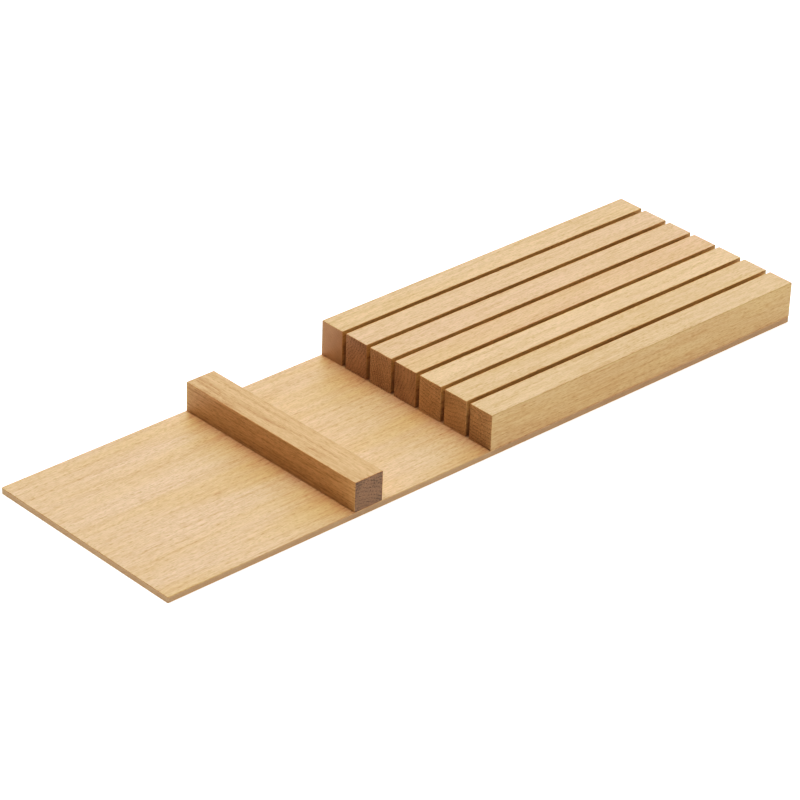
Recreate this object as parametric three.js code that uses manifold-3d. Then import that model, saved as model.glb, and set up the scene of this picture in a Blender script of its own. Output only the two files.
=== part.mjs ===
// In-drawer knife block in oak. A thin veneered board lies in the drawer. Seven slats stand side by side on
// one end of it, and the slots between them take the blades. A bar across the board carries the handles.
// Each slat and the bar is glued to the board and drawn down by two countersunk wood screws from beneath.
//
// Millimetres. X runs along the board from the handle end to the slat end, Y across it towards the far side,
// and Z up. The origin is at the middle of the board's underside.

import * as THREE from 'three';
import { mergeVertices } from 'three/addons/utils/BufferGeometryUtils.js';
import Module from 'manifold-3d';

const wasm = await Module();
wasm.setup();

// The slats and the slots between them
const slatCount = 7;
const slatWidth = 18;
const slatHeight = 23;
const slatLength = 250;
const slotWidth = 3;

// The board, one fibreboard core between two oak veneers
const boardLength = 485;
const boardWidth = slatCount * slatWidth + (slatCount - 1) * slotWidth;
const veneerThickness = 0.5;
const coreThickness = 3;
const boardThickness = coreThickness + 2 * veneerThickness;

// The bar under the knife handles
const restWidth = 20.5;
const restHeight = 19;
const restFromHandleEnd = 132;

// The long top edges of the slats and the bar are eased by this much
const arris = 0.5;

// Countersunk wood screws, 3 mm by 16 mm, and how far in from its piece's ends each one sits
const screwLength = 16;
const screwRadius = 1.5;
const screwPoint = 3;
const headRadius = 3;
const headRim = 0.15;
const headSink = 0.3;
const slatScrewInset = 30;
const restScrewInset = 20;

// The cross in each screw head: its arms at the head's face, its arms at the bottom, their width, its depth
const crossSpan = 3.4;
const crossFloorSpan = 1.4;
const crossWidth = 0.7;
const crossDepth = 1.2;

// Room round the screws, and the depth of the blind holes that they go up into
const screwClearance = 0.15;
const pilotClearance = 0.1;
const pilotDepth = 13;

// Facets round each screw and hole, and how far a cutter runs out past the face that it cuts
const roundSides = 16;
const overrun = 1;

const handleEnd = -boardLength / 2;
const slatStart = boardLength / 2 - slatLength;
const restMiddle = handleEnd + restFromHandleEnd + restWidth / 2;

const along = new THREE.Vector3(1, 0, 0);
const across = new THREE.Vector3(0, 1, 0);
const up = new THREE.Vector3(0, 0, 1);

// Finishes
const slatOak = { color: 0xe6c799, roughness: 0.6, metalness: 0 };
const restOak = { color: 0xdcb585, roughness: 0.6, metalness: 0 };
const veneerOak = { color: 0xe4c49c, roughness: 0.6, metalness: 0 };
const fibreboard = { color: 0xb69670, roughness: 0.85, metalness: 0 };
const zincPlate = { color: 0xc4c6c8, roughness: 0.35, metalness: 1 };

// Joining and cutting

function toSolid(geometry) {
	const bare = geometry.clone();
	bare.deleteAttribute('normal');
	bare.deleteAttribute('uv');
	const merged = mergeVertices(bare);
	return new wasm.Manifold(new wasm.Mesh({
		numProp: 3,
		vertProperties: new Float32Array(merged.attributes.position.array),
		triVerts: new Uint32Array(merged.index.array),
	}));
}

function toGeometry(solid) {
	const mesh = solid.getMesh();
	const geometry = new THREE.BufferGeometry();
	geometry.setAttribute('position', new THREE.BufferAttribute(mesh.vertProperties, 3));
	geometry.setIndex(new THREE.BufferAttribute(mesh.triVerts, 1));
	geometry.computeVertexNormals();
	return geometry;
}

function cut(geometry, cutters) {
	let solid = toSolid(geometry);
	for (const cutter of cutters) {
		solid = solid.subtract(toSolid(cutter));
	}
	return toGeometry(solid);
}

function piece(name, geometry, finish) {
	const mesh = new THREE.Mesh(geometry, new THREE.MeshStandardMaterial(finish));
	mesh.name = name;
	return mesh;
}

// A round form about Z, from its profile as pairs of radius and height, listed from the bottom up.

function turned(profile) {
	const points = profile.map(([radius, height]) => new THREE.Vector2(radius, height));
	const geometry = new THREE.LatheGeometry(points, roundSides);
	return geometry.applyMatrix4(new THREE.Matrix4().makeBasis(along, up, across.clone().negate()));
}

// The screws and their holes. A screw's own origin is on the board's underside, and its point is up.

function crossArm(side) {
	const outline = new THREE.Shape([
		new THREE.Vector2(-crossSpan / 2, -overrun),
		new THREE.Vector2(crossSpan / 2, -overrun),
		new THREE.Vector2(crossSpan / 2, 0),
		new THREE.Vector2(crossFloorSpan / 2, crossDepth),
		new THREE.Vector2(-crossFloorSpan / 2, crossDepth),
		new THREE.Vector2(-crossSpan / 2, 0),
	]);
	const arm = new THREE.ExtrudeGeometry(outline, { depth: crossWidth, bevelEnabled: false });
	arm.translate(0, headSink, -crossWidth / 2);
	return arm.applyMatrix4(new THREE.Matrix4().makeBasis(side, up, side.clone().cross(up)));
}

function screwGeometry() {
	const rimTop = headSink + headRim;
	const shank = turned([
		[0, headSink],
		[headRadius, headSink],
		[headRadius, rimTop],
		[screwRadius, rimTop + headRadius - screwRadius],
		[screwRadius, headSink + screwLength - screwPoint],
		[0, headSink + screwLength],
	]);
	return cut(shank, [crossArm(along), crossArm(across)]);
}

// The hole through the board: a countersink that keeps clear of the head all round, and a clearance bore.

function boardHole() {
	const sinkRadius = headRadius + headSink + headRim + screwClearance;
	const boreRadius = screwRadius + screwClearance;
	return turned([
		[0, -overrun],
		[sinkRadius + overrun, -overrun],
		[boreRadius, sinkRadius - boreRadius],
		[boreRadius, boardThickness + overrun],
		[0, boardThickness + overrun],
	]);
}

function pilotHole() {
	const radius = screwRadius + pilotClearance;
	return turned([
		[0, -overrun],
		[radius, -overrun],
		[radius, pilotDepth],
		[0, pilotDepth],
	]);
}

const screwShape = screwGeometry();

function screw(name, place) {
	const mesh = piece(name, screwShape, zincPlate);
	mesh.position.copy(place).addScaledVector(up, -boardThickness);
	return mesh;
}

// A planed stick, square underneath and eased along its two top edges, with a blind hole for each screw.
// It starts at the origin and runs along one axis, and side is the axis across it.

function stick(length, width, height, side, run, screwInset) {
	const half = width / 2;
	const outline = new THREE.Shape([
		new THREE.Vector2(-half, 0),
		new THREE.Vector2(half, 0),
		new THREE.Vector2(half, height - arris),
		new THREE.Vector2(half - arris, height),
		new THREE.Vector2(arris - half, height),
		new THREE.Vector2(-half, height - arris),
	]);
	const planed = new THREE.ExtrudeGeometry(outline, { depth: length, bevelEnabled: false });
	planed.applyMatrix4(new THREE.Matrix4().makeBasis(side, up, run));
	const holes = [screwInset, length - screwInset].map((distance) => {
		return pilotHole().translate(run.x * distance, run.y * distance, 0);
	});
	return cut(planed, holes);
}

// The seven slats, numbered from the far side, each with a screw near either end

const slatShape = stick(slatLength, slatWidth, slatHeight, across, along, slatScrewInset);

function slat(number) {
	const group = new THREE.Group();
	const farEdge = boardWidth / 2 - (number - 1) * (slatWidth + slotWidth);
	group.position.set(slatStart, farEdge - slatWidth / 2, boardThickness);
	group.add(piece(`slat_${number}`, slatShape, slatOak));
	const frontPlace = new THREE.Vector3(slatScrewInset, 0, 0);
	const rearPlace = new THREE.Vector3(slatLength - slatScrewInset, 0, 0);
	group.add(screw(`slat_${number}_front_screw`, frontPlace));
	group.add(screw(`slat_${number}_rear_screw`, rearPlace));
	return group;
}

// The bar under the knife handles, across the whole board

function handleRest() {
	const group = new THREE.Group();
	const shape = stick(boardWidth, restWidth, restHeight, along.clone().negate(), across, restScrewInset);
	group.position.set(restMiddle, -boardWidth / 2, boardThickness);
	group.add(piece('handle_rest', shape, restOak));
	const nearPlace = new THREE.Vector3(0, restScrewInset, 0);
	const farPlace = new THREE.Vector3(0, boardWidth - restScrewInset, 0);
	group.add(screw('handle_rest_near_screw', nearPlace));
	group.add(screw('handle_rest_far_screw', farPlace));
	return group;
}

// The board's three layers, each drilled where the screws pass

function boardLayer(name, underside, thickness, finish, screwPlaces) {
	const sheet = new THREE.BoxGeometry(boardLength, boardWidth, thickness);
	sheet.translate(0, 0, underside + thickness / 2);
	const holes = screwPlaces.map((place) => boardHole().translate(place.x, place.y, 0));
	return piece(name, cut(sheet, holes), finish);
}

function board(screwPlaces) {
	const group = new THREE.Group();
	const coreTop = veneerThickness + coreThickness;
	group.add(boardLayer('bottom_veneer', 0, veneerThickness, veneerOak, screwPlaces));
	group.add(boardLayer('base_core', veneerThickness, coreThickness, fibreboard, screwPlaces));
	group.add(boardLayer('top_veneer', coreTop, veneerThickness, veneerOak, screwPlaces));
	return group;
}

// The whole knife block. The board is drilled where the screws of the slats and the bar stand.

const knifeBlock = new THREE.Group();
for (let number = 1; number <= slatCount; number += 1) {
	knifeBlock.add(slat(number));
}
knifeBlock.add(handleRest());
knifeBlock.updateMatrixWorld(true);

const screwPlaces = [];
knifeBlock.traverse((node) => {
	if (node.name.endsWith('_screw')) {
		screwPlaces.push(node.getWorldPosition(new THREE.Vector3()));
	}
});
knifeBlock.add(board(screwPlaces));

export default knifeBlock;
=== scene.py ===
# Oak knife block for a kitchen drawer: what it looks like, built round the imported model.
# X runs along the board from the handle end to the slat end, Y across it to the far side, and Z up.

import math

import bpy
from mathutils import Euler, Matrix, Vector


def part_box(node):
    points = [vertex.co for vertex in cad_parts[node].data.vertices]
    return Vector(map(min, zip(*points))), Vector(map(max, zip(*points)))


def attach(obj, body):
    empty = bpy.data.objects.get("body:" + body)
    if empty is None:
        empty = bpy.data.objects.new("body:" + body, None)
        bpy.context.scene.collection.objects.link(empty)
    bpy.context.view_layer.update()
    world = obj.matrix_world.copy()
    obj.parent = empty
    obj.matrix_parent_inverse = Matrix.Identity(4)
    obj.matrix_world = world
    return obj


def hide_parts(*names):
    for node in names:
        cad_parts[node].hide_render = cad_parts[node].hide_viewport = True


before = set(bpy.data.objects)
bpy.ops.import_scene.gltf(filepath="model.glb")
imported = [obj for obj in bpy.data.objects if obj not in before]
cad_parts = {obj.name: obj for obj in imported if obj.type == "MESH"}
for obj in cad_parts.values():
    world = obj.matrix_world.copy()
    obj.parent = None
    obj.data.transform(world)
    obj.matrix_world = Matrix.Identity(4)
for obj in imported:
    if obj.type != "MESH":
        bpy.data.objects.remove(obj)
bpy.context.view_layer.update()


# The core of the board. A 3 mm sheet of brown high density fibreboard, sawn to size, with a leaf of oak
# glued to each face. Only its edge shows, as a plain brown line round the board. The screws pass through it.

MM = 0.001
body = "root"
screw_nodes = sorted(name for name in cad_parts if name.endswith("_screw"))

board_corner = 0.8 * MM
head_radius = 3.0 * MM
head_sink = 0.3 * MM
head_rim = 0.15 * MM
screw_radius = 1.5 * MM
hole_room = 0.15 * MM
overrun = 1.0 * MM
hole_sides = 32
touching = 0.01 * MM

# A face looks squarely along an axis when the cosine between its normal and the axis is more than this.
squarely = 0.9


def middle(node):
    """The middle of a CAD node."""
    low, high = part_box(node)
    return (low + high) / 2


def only(piece):
    """Selects one piece and makes it the one that is worked on."""
    bpy.ops.object.select_all(action="DESELECT")
    piece.select_set(True)
    bpy.context.view_layer.objects.active = piece


def settle(name):
    """Names the piece that was just added, and puts its place and size into its mesh."""
    piece = bpy.context.object
    piece.name = name
    bpy.ops.object.transform_apply(location=True, rotation=True, scale=True)
    return piece


def pick(piece, edges=None, faces=None):
    """Goes into edit mode with only those edges or faces selected that the test accepts."""
    only(piece)
    bpy.context.tool_settings.mesh_select_mode = (False, faces is None, edges is None)
    bpy.ops.object.mode_set(mode="EDIT")
    bpy.ops.mesh.select_all(action="DESELECT")
    bpy.ops.object.mode_set(mode="OBJECT")
    if edges:
        for edge in piece.data.edges:
            edge.select = edges(*(piece.data.vertices[i].co for i in edge.vertices))
    if faces:
        for face in piece.data.polygons:
            face.select = faces(face.normal, face.center)
    bpy.ops.object.mode_set(mode="EDIT")


def round_edges(piece, radius, edges, segments=3):
    """Rounds off the edges that the test accepts."""
    pick(piece, edges=edges)
    bpy.ops.mesh.bevel(offset=radius, segments=segments, affect="EDGES", clamp_overlap=True)
    bpy.ops.object.mode_set(mode="OBJECT")


def upright(start, end):
    """Whether an edge stands along Z."""
    return (start - end).xy.length < touching


def facing_up(normal, centre):
    """Whether a face looks up."""
    return normal.z > squarely


def block(name, low, high):
    """A block between two corners."""
    bpy.ops.object.select_all(action="DESELECT")
    bpy.ops.mesh.primitive_cube_add(size=1.0, location=(low + high) / 2, scale=high - low)
    return settle(name)


def copied(piece, name, shift):
    """A copy of the piece with its own mesh, moved by shift."""
    only(piece)
    bpy.ops.object.duplicate(linked=False)
    bpy.ops.transform.translate(value=shift)
    return settle(name)


def join(pieces):
    """Joins the pieces into the first one."""
    only(pieces[0])
    for piece in pieces:
        piece.select_set(True)
    bpy.ops.object.join()
    return pieces[0]


def combine(piece, tool, operation):
    """Cuts the tool's shape out of the piece, or joins it on. The tool itself stays in the scene."""
    only(piece)
    modifier = piece.modifiers.new("combine", "BOOLEAN")
    modifier.operation = operation
    modifier.solver = "EXACT"
    modifier.object = tool
    bpy.ops.object.modifier_apply(modifier=modifier.name)


def linear(hex_code):
    """A linear colour from an sRGB hex value."""
    channels = [int(hex_code[i : i + 2], 16) / 255 for i in (0, 2, 4)]
    return (*(c / 12.92 if c <= 0.04045 else ((c + 0.055) / 1.055) ** 2.4 for c in channels), 1.0)


def add(tree, kind, inputs=(), **settings):
    """Adds a shader node with its settings. Its inputs are given by name, or in the order in which the node
    shows them. Each is a plain value, or the output or node that it is linked from."""
    node = tree.nodes.new("ShaderNode" + kind)
    for name, value in settings.items():
        setattr(node, name, value)
    shown = [socket for socket in node.inputs if socket.enabled]
    for key, value in inputs.items() if isinstance(inputs, dict) else enumerate(inputs):
        socket = node.inputs[key] if isinstance(key, str) else shown[key]
        if isinstance(value, bpy.types.Node):
            value = next(output for output in value.outputs if output.enabled)
        if isinstance(value, bpy.types.NodeSocket):
            tree.links.new(value, socket)
        else:
            socket.default_value = value
    return node


def new_material(name):
    """An empty node material, and its node tree."""
    material = bpy.data.materials.new(name)
    material.use_nodes = True
    material.node_tree.nodes.clear()
    return material, material.node_tree


# Sawn fibreboard is pressed brown wood fibre. It is matt, with a fine speckle of lighter and darker fibres.
# The fibres are about 0.1 mm wide, and are drawn at 0.5 mm so that they show.

fibreboard, tree = new_material("sawn_fibreboard")
place = add(tree, "TexCoord").outputs["Object"]
specks = add(tree, "TexNoise", {"Vector": place, "Scale": 1 / (0.5 * MM), "Detail": 3.0})
clouds = add(tree, "TexNoise", {"Vector": place, "Scale": 1 / (12 * MM), "Detail": 2.0})
speck_tone = add(tree, "MapRange", [specks, 0.3, 0.7, 0.0, 0.7])
cloud_tone = add(tree, "MapRange", [clouds, 0.3, 0.7, 0.0, 0.3])
tone = add(tree, "Math", [speck_tone, cloud_tone], operation="ADD")
shade = add(tree, "Mix", [tone, linear("C6A37E"), linear("D9BE9D")], data_type="RGBA")
bump = add(tree, "Bump", {"Height": specks, "Distance": 0.06 * MM, "Strength": 0.6})
shader = add(tree, "BsdfPrincipled", {
    "Base Color": shade, "Roughness": 0.85, "IOR": 1.47, "Diffuse Roughness": 0.5, "Normal": bump,
})
add(tree, "OutputMaterial", {"Surface": shader})

# One drill takes the countersink and the clearance hole, from below the board up past its top.
board_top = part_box("top_veneer")[1].z
mouth = head_radius + head_sink + head_rim + hole_room + overrun
bore = screw_radius + hole_room
first_screw = middle(screw_nodes[0])
bpy.ops.object.select_all(action="DESELECT")
bpy.ops.mesh.primitive_cone_add(
    vertices=hole_sides, radius1=mouth, radius2=bore, depth=mouth - bore,
    location=(first_screw.x, first_screw.y, (mouth - bore) / 2 - overrun),
)
drill = settle("board_drill")
pick(drill, faces=facing_up)
rise = board_top + overrun - (mouth - bore - overrun)
bpy.ops.mesh.extrude_region_move(TRANSFORM_OT_translate={"value": (0, 0, rise)})
bpy.ops.object.mode_set(mode="OBJECT")
board_drills = join([drill] + [
    copied(drill, "board_drill", middle(node) - first_screw) for node in screw_nodes[1:]
])

core = block("core_board", *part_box("base_core"))
round_edges(core, board_corner, upright)
combine(core, board_drills, "DIFFERENCE")
core.data.materials.append(fibreboard)
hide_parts("base_core")
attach(core, body)


# The two face veneers. Half a millimetre of oak, glued over the whole core with the grain along the board,
# sanded and oiled. The upper one is the better leaf. The one beneath balances it and keeps the board flat.

veneer_arris = 0.2 * MM


def oak(name, colours, centre, heart, turn=(0, 0, 0), ring=2.4, figure=1.0, streaks=1.0, ends=1.0):
    """Oak, planed and sanded: a soft sheen over pale brown wood. It is cut out of a whole log, so every face
    shows the same rings and pores. Each ring starts with rows of open pores, which are short dark dashes on
    the sides and dots on the ends. Thin rays cross the rings, and the ends take in more oil and are darker.
    Colours are light, blush, dark, end light and end dark. Heart leads from the centre of the piece to the
    middle of the log and ring is the width of a year's growth, both in millimetres. Turn is in degrees from
    the log's length to the piece's X. Figure, streaks and ends are how strongly the rings and the streaks
    show on the sides, and the pattern on the ends, with 1 as usual."""
    light, blush, dark, end_light, end_dark = (linear(colour) for colour in colours)
    material, tree = new_material(name)
    coordinates = add(tree, "TexCoord")
    place = coordinates.outputs["Object"]
    heart_place = centre + Vector(heart) * MM
    lie = Euler([math.radians(angle) for angle in turn])

    # The log's own coordinates, counted in lengths along the grain and widths across it. The first ones are
    # in metres, and each of the others is as coarse as the pattern that it carries.
    log, wave_cells, cloud_cells, band_cells, fibre_cells, vessel_cells, pit_cells = (
        add(tree, "Mapping", [place, heart_place, lie, (along, across, across)], vector_type="TEXTURE")
        for along, across in (
            (1, 1), (150 * MM, 18 * MM), (110 * MM, 17 * MM), (60 * MM, 2.6 * MM), (7 * MM, 0.6 * MM),
            (4.5 * MM, 0.95 * MM), (2.8 * MM, 0.7 * MM),
        )
    )

    # Rings: the distance from the heart, bent by slow waves in the trunk, and counted in years. Each step of
    # the ramp is a place in the year's growth, and how porous the wood is there.
    wave_height = 9 * MM
    round_log = add(tree, "VectorMath", [log, (0, 1, 1)], operation="MULTIPLY")
    radius = add(tree, "VectorMath", [round_log], operation="LENGTH")
    wave = add(tree, "TexNoise", {"Vector": wave_cells, "Scale": 1.0, "Detail": 3.0})
    bent = add(tree, "Math", [wave, wave_height, radius], operation="MULTIPLY_ADD")
    years = add(tree, "Math", [bent, 1 / (ring * MM)], operation="MULTIPLY")
    season = add(tree, "Math", [years], operation="FRACT")
    early = add(tree, "ValToRGB", [season])
    early.color_ramp.interpolation = "EASE"
    early.color_ramp.elements[1].color = (1, 1, 1, 1)
    early.color_ramp.elements[0].color = (1, 1, 1, 1)
    for position, porous in ((0.42, 0.1), (0.9, 0.0)):
        early.color_ramp.elements.new(position).color = (porous, porous, porous, 1)

    # Vessels are tubes along the grain, about 0.25 mm wide, and are drawn twice as wide so that they show.
    vessels = add(tree, "TexVoronoi", {"Vector": vessel_cells, "Scale": 1.0})
    vessel_core = add(tree, "MapRange", [vessels, 0.12, 0.4, 1.0, 0.0])
    crowding = add(tree, "MapRange", [early, 0.0, 1.0, 0.45, 1.0])
    open_vessels = add(tree, "Math", [vessel_core, crowding], operation="MULTIPLY")
    pits = add(tree, "TexVoronoi", {"Vector": pit_cells, "Scale": 1.0})
    pit_core = add(tree, "MapRange", [pits, 0.1, 0.36, 0.6, 0.0])
    pores = add(tree, "Math", [open_vessels, pit_core], operation="MAXIMUM")

    # Rays are thin sheets that stand out from the heart across the rings.
    ray_length, ray_spacing, ray_depth = 9 * MM, 1.3 * MM, 12 * MM
    heart_distance = Vector(heart).length * MM
    parts = add(tree, "SeparateXYZ", [log])
    bearing = add(tree, "Math", [parts.outputs["Z"], parts.outputs["Y"]], operation="ARCTAN2")
    sheet_cells = add(tree, "CombineXYZ", [
        add(tree, "Math", [parts.outputs["X"], 1 / ray_length], operation="MULTIPLY"),
        add(tree, "Math", [bearing, heart_distance / ray_spacing], operation="MULTIPLY"),
        add(tree, "Math", [radius, 1 / ray_depth], operation="MULTIPLY"),
    ])
    sheets = add(tree, "TexVoronoi", {"Vector": sheet_cells, "Scale": 1.0})
    rays = add(tree, "MapRange", [sheets, 0.08, 0.24, 1.0, 0.0])

    # The sides: soft clouds of blush, streaks along the grain, fine fibres, rings, rays and pores.
    clouds = add(tree, "TexNoise", {"Vector": cloud_cells, "Scale": 1.0, "Detail": 2.0})
    cloudy = add(tree, "MapRange", [clouds, 0.35, 0.65, 0.0, 1.0])
    ground = add(tree, "Mix", [cloudy, light, blush], data_type="RGBA")
    bands = add(tree, "TexNoise", {"Vector": band_cells, "Scale": 1.0, "Detail": 3.0})
    band_tone = add(tree, "MapRange", [bands, 0.3, 0.7, 0.2 - 0.3 * streaks, 0.2 + 0.3 * streaks])
    fibres = add(tree, "TexNoise", {"Vector": fibre_cells, "Scale": 1.0, "Detail": 3.0})
    fibre_tone = add(tree, "MapRange", [fibres, 0.3, 0.7, -0.3, 0.3])
    patchy = add(tree, "MapRange", [bands, 0.35, 0.6, 0.0, 0.35 * figure])
    tone = add(tree, "Math", [early, patchy, band_tone], operation="MULTIPLY_ADD")
    tone = add(tree, "Math", [rays, 0.12, tone], operation="MULTIPLY_ADD")
    tone = add(tree, "Math", [tone, fibre_tone], operation="ADD")
    side = add(tree, "Mix", [tone, ground, dark], data_type="RGBA")
    pore_shade = add(tree, "Mix", [0.5, dark, linear("7A4E28")], data_type="RGBA")
    pore_strength = add(tree, "Math", [pores, 0.55], operation="MULTIPLY")
    side = add(tree, "Mix", [pore_strength, side, pore_shade], data_type="RGBA")

    # The ends: rings and pores plainly dark, rays light, with blotches where the oil went in deeper.
    blotch = add(tree, "MapRange", [clouds, 0.3, 0.7, 0.0, 0.4])
    end_tone = add(tree, "Math", [early, 0.27 * ends, blotch], operation="MULTIPLY_ADD")
    end_tone = add(tree, "Math", [open_vessels, 0.55 * ends, end_tone], operation="MULTIPLY_ADD")
    end_tone = add(tree, "Math", [rays, -0.3 * ends, end_tone], operation="MULTIPLY_ADD")
    end_tone = add(tree, "Math", [fibre_tone, 1.3 * ends, end_tone], operation="MULTIPLY_ADD")
    end = add(tree, "Mix", [end_tone, end_light, end_dark], data_type="RGBA")

    grain = lie.to_matrix() @ Vector((1, 0, 0))
    facing = add(tree, "VectorMath", [coordinates.outputs["Normal"], grain], operation="DOT_PRODUCT")
    facing = add(tree, "Math", [facing], operation="ABSOLUTE")
    on_end = add(tree, "MapRange", [facing, 0.55, 0.9, 0.0, 1.0])
    shade = add(tree, "Mix", [on_end, side, end], data_type="RGBA")

    gloss = add(tree, "MapRange", [pores, 0.0, 1.0, 0.55, 0.75])
    relief = add(tree, "Math", [fibres, 0.3, 1.0], operation="MULTIPLY_ADD")
    relief = add(tree, "Math", [relief, pores], operation="SUBTRACT")
    bump = add(tree, "Bump", {"Height": relief, "Distance": 0.04 * MM, "Strength": 0.5})
    shader = add(tree, "BsdfPrincipled", {
        "Base Color": shade, "Roughness": gloss, "IOR": 1.5, "Normal": bump,
    })
    add(tree, "OutputMaterial", {"Surface": shader})
    return material


def level_at(height):
    """A test for the edges that lie level at that height."""
    return lambda start, end: abs(start.z - height) < touching and abs(end.z - height) < touching


def veneer(name, node, show_height, material):
    """One leaf of veneer. Its outer arris is sanded off, and it is drilled for the screws."""
    leaf = block(name, *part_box(node))
    round_edges(leaf, board_corner, upright)
    round_edges(leaf, veneer_arris, level_at(show_height), segments=2)
    combine(leaf, board_drills, "DIFFERENCE")
    leaf.data.materials.append(material)
    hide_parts(node)
    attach(leaf, body)


veneer("top_leaf", "top_veneer", board_top, oak(
    "oiled_oak_top_leaf", ("E4BE8A", "E8C59B", "C78F66", "D2A77A", "A87A4E"),
    middle("top_veneer"), heart=(-250, 34, -55), turn=(0, 0, 0.8), ring=3.1, figure=0.5, streaks=0.5,
))
veneer("bottom_leaf", "bottom_veneer", 0.0, oak(
    "oiled_oak_bottom_leaf", ("E4C193", "E2BD94", "C49663", "D2A77A", "A87A4E"),
    middle("bottom_veneer"), heart=(0, -20, 75), turn=(0, 0, -1.1), ring=3.4, streaks=0.7,
))
bpy.data.objects.remove(board_drills)


# The seven slats. Planed and sanded oak sticks, all cut to one length, their arrises only just taken off.
# They are glued down side by side with a blade's width between them. Each came from another part of a log.

slat_arris = 0.45 * MM
foot_arris = 0.12 * MM
pilot_radius = screw_radius + 0.1 * MM
pilot_depth = 13.0 * MM


def planed_stick(name, node, screws):
    """A planed stick, eased all round above and hardly at all at its glued foot, drilled up from below."""
    low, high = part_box(node)
    stick = block(name, low, high)
    on_foot = level_at(low.z)
    round_edges(stick, slat_arris, lambda start, end: not on_foot(start, end))
    round_edges(stick, foot_arris, on_foot, segments=1)
    for screw in screws:
        bpy.ops.object.select_all(action="DESELECT")
        bpy.ops.mesh.primitive_cylinder_add(
            vertices=hole_sides, radius=pilot_radius, depth=pilot_depth + overrun,
            location=(middle(screw).x, middle(screw).y, low.z + (pilot_depth - overrun) / 2),
        )
        pilot_drill = settle("pilot_drill")
        combine(stick, pilot_drill, "DIFFERENCE")
        bpy.data.objects.remove(pilot_drill)
    return stick


def recolour(piece, material, faces):
    """Gives another material to the faces that the test accepts."""
    piece.data.materials.append(material)
    pick(piece, faces=faces)
    piece.active_material_index = len(piece.data.materials) - 1
    bpy.ops.object.material_slot_assign()
    bpy.ops.object.mode_set(mode="OBJECT")


# The wood of each slat, from the far side to the near one: its colours, the width of its rings, how far the
# heart of its log lies across and above the middle of its end, and how strongly its ends are marked.
slat_woods = (
    (("E7C08C", "E6C091", "C49462", "CFA980", "A97D54"), 2.2, (-60, 70), 0.3),
    (("E6BF8F", "E7BF94", "C49163", "CEA57D", "855A35"), 2.0, (60, 30), 1.0),
    (("E5BE8E", "E7BE93", "C49062", "DAB488", "8E633C"), 2.1, (-60, 25), 1.0),
    (("E5BC89", "E6BA8F", "C28C5B", "D1AA7F", "855A36"), 2.3, (75, 20), 1.0),
    (("EBC792", "E9C496", "C99968", "E1BC8B", "9A7245"), 2.4, (-15, 80), 1.0),
    (("E5BF8B", "E4BE90", "C4935F", "DCB684", "956D40"), 2.6, (10, 120), 0.8),
    (("E5C08E", "E3BE90", "C29160", "D5AE7D", "8E663A"), 2.5, (-6, 100), 1.1),
)
slat_nodes = [f"slat_{number}" for number in range(1, len(slat_woods) + 1)]
first_stick = planed_stick("slat_stick_1", "slat_1", ("slat_1_front_screw", "slat_1_rear_screw"))
sticks = [first_stick] + [
    copied(first_stick, node.replace("slat_", "slat_stick_"), middle(node) - middle("slat_1"))
    for node in slat_nodes[1:]
]

# The slots' walls get a paler copy of the oak. This is painted light: it sets how bright the slots look.
outer_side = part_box("slat_1")[1].y


def in_a_slot(normal, centre):
    """Whether a face is a slat's side and not one of the two outer sides."""
    return abs(normal.y) > squarely and abs(centre.y) < outer_side - touching


slot_oak_painted_light = oak(
    "slot_oak_painted_light", ("E2C490", "DFC08B", "BF9A68", "CEA57D", "855A35"), middle("slat_4"), heart=(0, 40, 60),
)
for stick, node, (colours, ring, (heart_y, heart_z), ends) in zip(sticks, slat_nodes, slat_woods):
    stick.data.materials.append(oak(
        f"oiled_oak_{node}", colours, middle(node), heart=(0, heart_y, heart_z), turn=(0, 0, 0.5), ring=ring,
        figure=0.6, streaks=0.5, ends=ends,
    ))
    # Painted light: the faces inside the slots take the paler copy of the oak.
    recolour(stick, slot_oak_painted_light, in_a_slot)
    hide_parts(node)
    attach(stick, body)


# The bar under the knife handles. One more planed oak stick, across the board and flush with its long sides,
# from a browner and more streaky plank than the slats.

bar = planed_stick("handle_bar", "handle_rest", ("handle_rest_near_screw", "handle_rest_far_screw"))
bar_log = {
    "centre": middle("handle_rest"), "heart": (-25, 0, -80), "turn": (0, 0, 90),
    "ring": 2.2, "figure": 1.1, "streaks": 0.6,
}
bar_oak = oak("oiled_oak_bar", ("DFB180", "DDAF7E", "B68450", "A37F5F", "4D3C2C"), **bar_log)
bar.data.materials.append(bar_oak)

# The rings lie flat in the bar. Its front and back get a less pink copy of its oak: painted light, standing
# in for whiter light on these two faces.
bar_faces_painted_light_oak = oak("oiled_oak_bar_sides_painted_light", ("DFB984", "DDB682", "B68A54", "A37F5F", "4D3C2C"), **bar_log)
recolour(bar, bar_faces_painted_light_oak, lambda normal, centre: abs(normal.x) > squarely)
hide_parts("handle_rest")
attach(bar, body)


# The sixteen screws, 3 mm by 16 mm, zinc plated steel, with a countersunk head and a cross recess. They hold
# the slats and the bar down from beneath, and only their heads show, in their countersinks.

head_sides = 48
head_ease = 0.05 * MM
smooth_up_to = math.radians(40)
turn_between = math.radians(137)
screw_length = 16.0 * MM
point_length = 3.0 * MM
point_blunt = 0.02
core_radius = 1.05 * MM
thread_root = 0.25 * MM
thread_width = 0.75 * MM
thread_pitch = 1.35 * MM
thread_turns = 9
thread_start = 3.2 * MM
recess_span = 3.4 * MM
recess_floor_span = 1.4 * MM
recess_width = 0.7 * MM
recess_depth = 1.2 * MM

# Bright zinc plate is a thin bluish silver skin, smooth but not polished, with a faint mottle.
zinc, tree = new_material("bright_zinc_plate")
place = add(tree, "TexCoord").outputs["Object"]
mottle = add(tree, "TexNoise", {"Vector": place, "Scale": 1 / (0.8 * MM), "Detail": 3.0})
shade = add(tree, "Mix", [mottle, linear("B4B9BE"), linear("D6D9DB")], data_type="RGBA")
gloss = add(tree, "MapRange", [mottle, 0.3, 0.7, 0.25, 0.42])
shader = add(tree, "BsdfPrincipled", {"Base Color": shade, "Metallic": 1.0, "Roughness": gloss})
add(tree, "OutputMaterial", {"Surface": shader})

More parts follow.
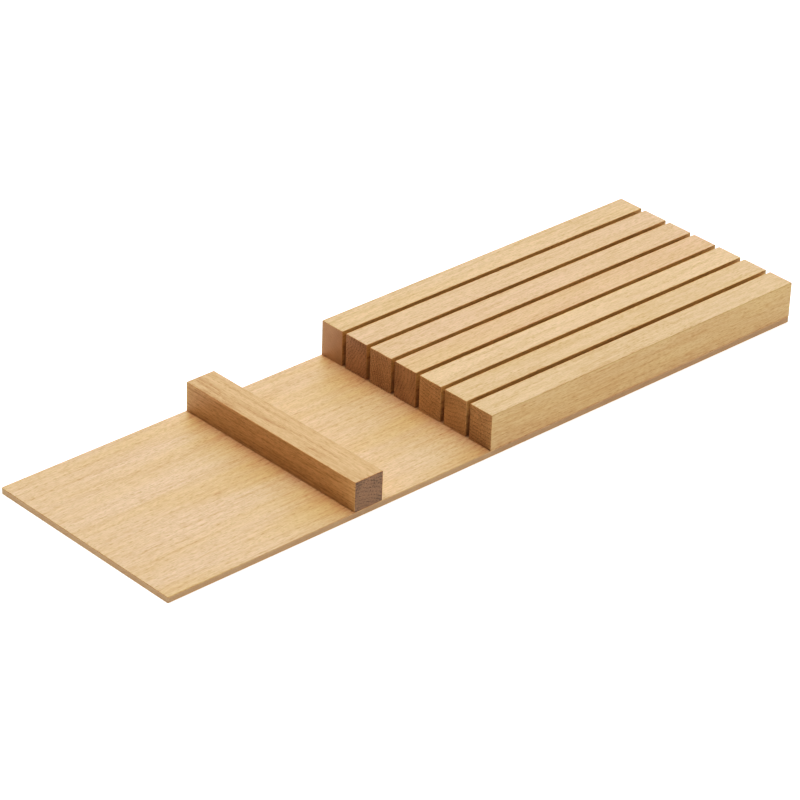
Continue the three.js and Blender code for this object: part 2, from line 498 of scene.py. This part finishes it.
# The head and the core are drawn out from a disc on the Z axis. Each step is a height and the radius there.
head_top = head_sink + head_rim
tip = head_sink + screw_length
steps = (
    (head_sink + head_ease, head_radius),
    (head_top, head_radius),
    (head_top + head_radius - core_radius, core_radius),
    (tip, core_radius),
)
height, radius = head_sink, head_radius - head_ease
bpy.ops.object.select_all(action="DESELECT")
bpy.ops.mesh.primitive_circle_add(
    vertices=head_sides, radius=radius, fill_type="NGON", location=(0, 0, height),
)
screw = settle("wood_screw")
pick(screw, faces=lambda normal, centre: True)
for next_height, next_radius in steps:
    bpy.ops.mesh.extrude_region_move(TRANSFORM_OT_translate={"value": (0, 0, next_height - height)})
    ratio = next_radius / radius
    bpy.ops.transform.resize(value=(ratio, ratio, 1), center_override=(0, 0, next_height))
    height, radius = next_height, next_radius
bpy.ops.mesh.select_all(action="SELECT")
bpy.ops.mesh.normals_make_consistent(inside=False)
bpy.ops.object.mode_set(mode="OBJECT")

# The thread is a three-sided rib with its root inside the core, wound up it and closed at both ends. It
# starts as an even triangle, whose depth is one and a half of its radius, and is flattened to its width.
rib_depth = screw_radius - core_radius + thread_root
rib_radius = rib_depth / 1.5
bpy.ops.object.select_all(action="DESELECT")
bpy.ops.mesh.primitive_circle_add(
    vertices=3, radius=rib_radius, fill_type="NOTHING", rotation=(math.pi / 2, math.pi / 2, 0),
    location=(screw_radius - rib_radius, 0, thread_start),
)
rib = settle("screw_thread")
pick(rib, edges=lambda start, end: True)
flattening = thread_width / (rib_radius * math.sqrt(3))
bpy.ops.transform.resize(value=(1, 1, flattening), center_override=(0, 0, thread_start))
bpy.ops.object.mode_set(mode="OBJECT")
winding = rib.modifiers.new("winding", "SCREW")
winding.angle = math.tau * thread_turns
winding.screw_offset = thread_pitch * thread_turns
winding.steps = head_sides // 2 * thread_turns
bpy.ops.object.modifier_apply(modifier=winding.name)
bpy.ops.object.mode_set(mode="EDIT")
bpy.ops.mesh.select_all(action="SELECT")
bpy.ops.mesh.fill_holes(sides=3)
bpy.ops.mesh.normals_make_consistent(inside=False)
bpy.ops.object.mode_set(mode="OBJECT")
combine(screw, rib, "UNION")
bpy.data.objects.remove(rib)

# Over the last 3 mm the core and its thread narrow to a point.
for vertex in screw.data.vertices:
    narrowing = (tip - vertex.co.z) / point_length
    vertex.co.xy = vertex.co.xy * min(1.0, max(narrowing, point_blunt))

# The cross in the head is punched by two bars, each narrower at the bottom and run out past the head's face.
corner = Vector((recess_span, recess_width, 0)) / 2
recess_floor = head_sink + recess_depth
for turn in (0, math.pi / 2):
    punch = block("cross_punch", Vector((0, 0, head_sink)) - corner, Vector((0, 0, recess_floor)) + corner)
    pick(punch, faces=facing_up)
    narrowing = recess_floor_span / recess_span
    bpy.ops.transform.resize(value=(narrowing, 1, 1), center_override=(0, 0, recess_floor))
    bpy.ops.object.mode_set(mode="OBJECT")
    pick(punch, faces=lambda normal, centre: normal.z < -squarely)
    bpy.ops.mesh.extrude_region_move(TRANSFORM_OT_translate={"value": (0, 0, -overrun)})
    bpy.ops.mesh.select_all(action="SELECT")
    bpy.ops.transform.rotate(value=turn, orient_axis="Z", center_override=(0, 0, 0))
    bpy.ops.object.mode_set(mode="OBJECT")
    combine(screw, punch, "DIFFERENCE")
    bpy.data.objects.remove(punch)
screw.data.materials.append(zinc)
only(screw)
bpy.ops.object.shade_smooth_by_angle(angle=smooth_up_to)

# Each screw is driven until it is tight, so no two crosses stop at the same turn.
for number, node in enumerate(screw_nodes):
    spot = middle(node)
    piece = copied(screw, node.replace("_screw", "_wood_screw"), Vector((0, 0, 0)))
    bpy.ops.transform.rotate(value=number * turn_between, orient_axis="Z", center_override=(0, 0, 0))
    bpy.ops.transform.translate(value=(spot.x, spot.y, 0))
    bpy.ops.object.transform_apply(location=True, rotation=True, scale=True)
    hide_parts(node)
    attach(piece, body)
bpy.data.objects.remove(screw)


# The floor, a light table. It is a sheet of white opal acrylic, lit from beneath, so that nothing shows
# round the block but white. It also lights the upright faces from below. Its edge is out of every view.

floor_side = 60.0
bpy.ops.object.select_all(action="DESELECT")
bpy.ops.mesh.primitive_plane_add(size=floor_side, location=(0, 0, 0))
floor = settle("studio_floor")
opal, tree = new_material("matt_opal_acrylic")
shader = add(tree, "BsdfPrincipled", {
    "Base Color": linear("CFCFCE"), "Roughness": 0.9,
    "Emission Color": (1, 1, 1, 1), "Emission Strength": 0.87,
})
add(tree, "OutputMaterial", {"Surface": shader})
floor.data.materials.append(opal)


# The light. Large soft lights hang overhead, over the far side and beyond the far corner. Only a weak one
# stands on the near side, so the slots stay dark, and the light table does the rest there.

def soft_lamp(name, azimuth, elevation, spread, strength):
    """A round soft light far away. Its angles are in degrees, and azimuth is from X towards Y."""
    lamp = bpy.data.lights.new(name, "SUN")
    lamp.energy = strength
    lamp.angle = math.radians(spread)
    towards = Vector((
        math.cos(math.radians(azimuth)) * math.cos(math.radians(elevation)),
        math.sin(math.radians(azimuth)) * math.cos(math.radians(elevation)),
        math.sin(math.radians(elevation)),
    ))
    light = bpy.data.objects.new(name, lamp)
    light.rotation_euler = towards.to_track_quat("Z", "Y").to_euler()
    bpy.context.collection.objects.link(light)


soft_lamp("overhead", azimuth=0, elevation=90, spread=70, strength=0.72)
soft_lamp("far_side", azimuth=90, elevation=62, spread=50, strength=1.94)
soft_lamp("far_corner", azimuth=45, elevation=30, spread=40, strength=1.18)
soft_lamp("near_side", azimuth=270, elevation=45, spread=50, strength=0.34)

# The studio's walls are white to the eye, and too far away to add any light that matters.
world = bpy.data.worlds.new("white_studio")
world.use_nodes = True
tree = world.node_tree
tree.nodes.clear()
glow = add(tree, "Background", {"Color": (1, 1, 1, 1), "Strength": 0.01})
backdrop = add(tree, "Background", {"Color": (1, 1, 1, 1), "Strength": 1.0})
seen = add(tree, "LightPath").outputs["Is Camera Ray"]
add(tree, "OutputWorld", {"Surface": add(tree, "MixShader", [seen, glow, backdrop])})
bpy.context.scene.world = world

# The picture's tones. A studio camera deepens the shadows and holds the light tones back a little. Each step
# is a light level and how bright it is shown.
tones = (
    (0.05, 0.02),
    (0.1, 0.053),
    (0.2, 0.14),
    (0.3, 0.25),
    (0.4, 0.375),
    (0.5, 0.49),
    (0.7, 0.67),
    (0.85, 0.8),
)
view = bpy.context.scene.view_settings
view.view_transform = "Standard"
view.use_curve_mapping = True
for light, shown in tones:
    view.curve_mapping.curves[3].points.new(light, shown)
view.curve_mapping.update()


# The camera, a long lens that looks down from the near side of the handle end, tipped a little. Its place
# and its lens are the ones that fit the straight edges in the photograph best.

camera_azimuth = math.radians(-43.586)
camera_elevation = math.radians(29.996)
camera_roll = math.radians(2.061)
camera_distance = 2.12412
camera_target = Vector((-0.003134, 0.008051, 0.0))

lens = bpy.data.cameras.new("camera")
lens.lens = 165.19
lens.sensor_width = 36.0
lens.clip_start = 0.1
lens.clip_end = 100.0
camera = bpy.data.objects.new("camera", lens)
back = Vector((
    math.sin(camera_azimuth) * math.cos(camera_elevation),
    -math.cos(camera_azimuth) * math.cos(camera_elevation),
    math.sin(camera_elevation),
))
right = Vector((math.cos(camera_azimuth), math.sin(camera_azimuth), 0))
turned = Matrix((right, back.cross(right), back)).transposed() @ Matrix.Rotation(camera_roll, 3, "Z")
camera.matrix_world = Matrix.Translation(camera_target + back * camera_distance) @ turned.to_4x4()
bpy.context.collection.objects.link(camera)
bpy.context.scene.camera = camera
